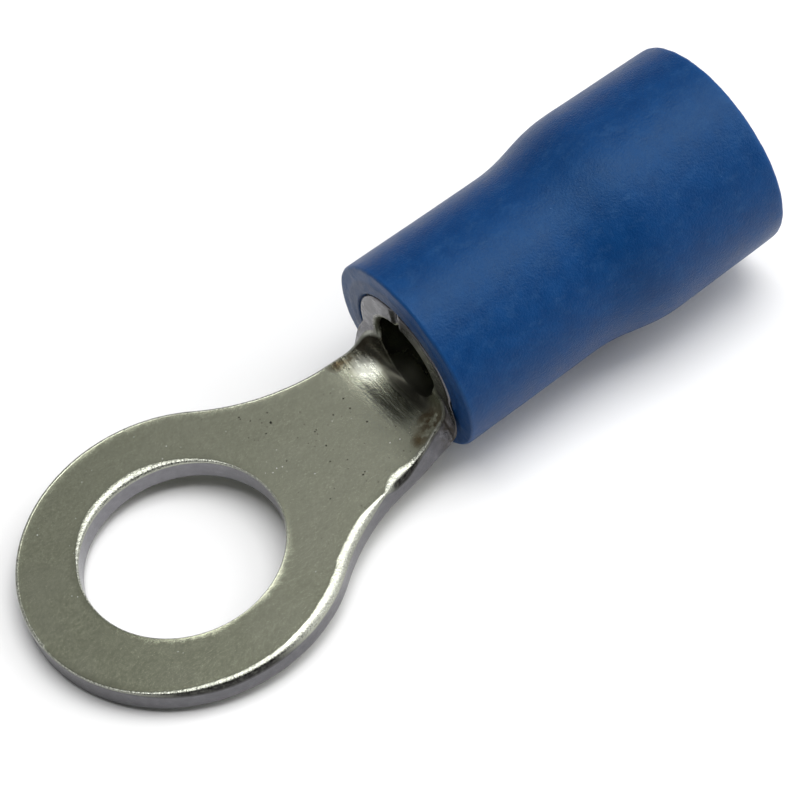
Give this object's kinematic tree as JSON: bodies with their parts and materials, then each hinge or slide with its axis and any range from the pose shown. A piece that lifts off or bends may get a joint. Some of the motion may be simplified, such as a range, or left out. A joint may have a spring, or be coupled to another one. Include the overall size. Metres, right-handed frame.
{
  "type": "ring terminal",
  "caption": "Insulated crimp ring terminal: flat ring tongue for an M5 stud, rolled wire barrel and a blue sleeve with a belled wire entry.",
  "frame": {"origin": "centre of the stud hole on the underside of the tongue, where the terminal seats", "axes": "+Z along the stud, out of the tongue on the side the barrel rises to; +X from the stud hole to the wire entry; +Y to the left of that"},
  "size_m": [0.0217, 0.0086, 0.0061],
  "materials": {
    "tinned_copper": "satin, tin plated",
    "blue_sleeve": "satin soft PVC"
  },
  "bodies": {
    "root": {"terminal_body": "tinned_copper", "insulating_sleeve": "blue_sleeve"}
  },
  "joints": []
}
